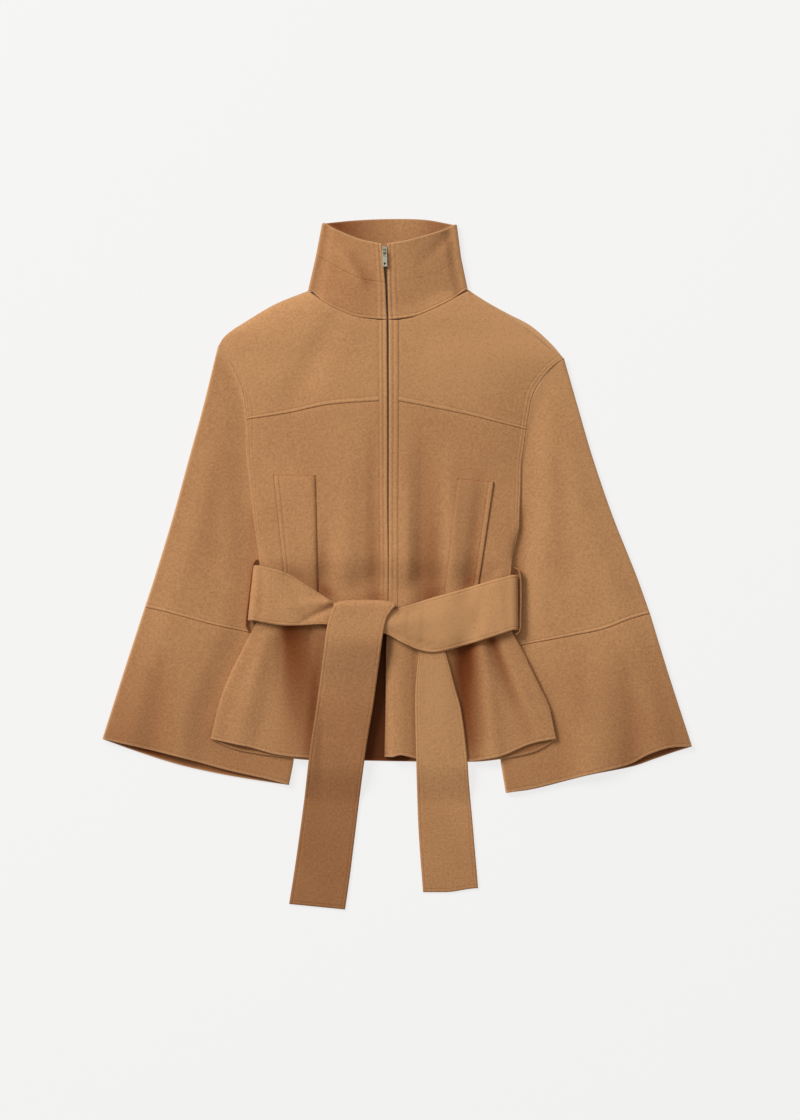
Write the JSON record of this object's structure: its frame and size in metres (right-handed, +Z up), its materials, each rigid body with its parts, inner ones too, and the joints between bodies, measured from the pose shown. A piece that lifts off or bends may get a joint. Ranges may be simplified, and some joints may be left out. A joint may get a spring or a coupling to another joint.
{
  "type": "belted wool jacket",
  "caption": "Zipped wool jacket with a funnel collar, slanted welt pockets, deep cuffs and a knotted self-fabric belt, laid flat on its back.",
  "frame": {"origin": "middle of the jacket's outline, on the surface that it lies on", "axes": "+Y from the hem to the collar, +X to the right as the jacket is seen from the front, +Z up from the surface through the back to the front"},
  "size_m": [0.7485, 0.8765, 0.0338],
  "materials": {
    "wool": "brushed melton wool with a soft nap",
    "zip_tape": "woven tape",
    "zip_teeth": "moulded, satin",
    "zip_metal": "polished pale metal"
  },
  "bodies": {
    "jacket": {"back_yoke": "wool", "back_panel": "wool", "front_yoke_left": "wool", "front_yoke_right": "wool", "front_panel_left": "wool", "front_panel_right": "wool", "placket_left": "wool", "placket_right": "wool", "sleeve_left": "wool", "sleeve_right": "wool", "sleeve_cuff_left": "wool", "sleeve_cuff_right": "wool", "collar_stand": "wool", "collar_upper": "wool", "pocket_welt_left": "wool", "pocket_welt_right": "wool", "belt_back": "wool", "belt_band_left": "wool", "belt_band_right": "wool", "belt_end_left": "wool", "belt_end_right": "wool", "belt_loop_left": "wool", "belt_loop_right": "wool", "zip_tape_left": "zip_tape", "zip_tape_right": "zip_tape", "zip_chain": "zip_teeth", "zip_slider": "zip_metal"},
    "pull_tab": {"zip_pull_tab": "zip_metal"}
  },
  "joints": [
    {"name": "pull_tab_swing", "type": "hinge", "parent": "jacket", "child": "pull_tab", "pos_m": [-0.0154, 0.3946, 0.02931], "axis": [-1, 0, 0], "range_deg": [0, 170]}
  ]
}
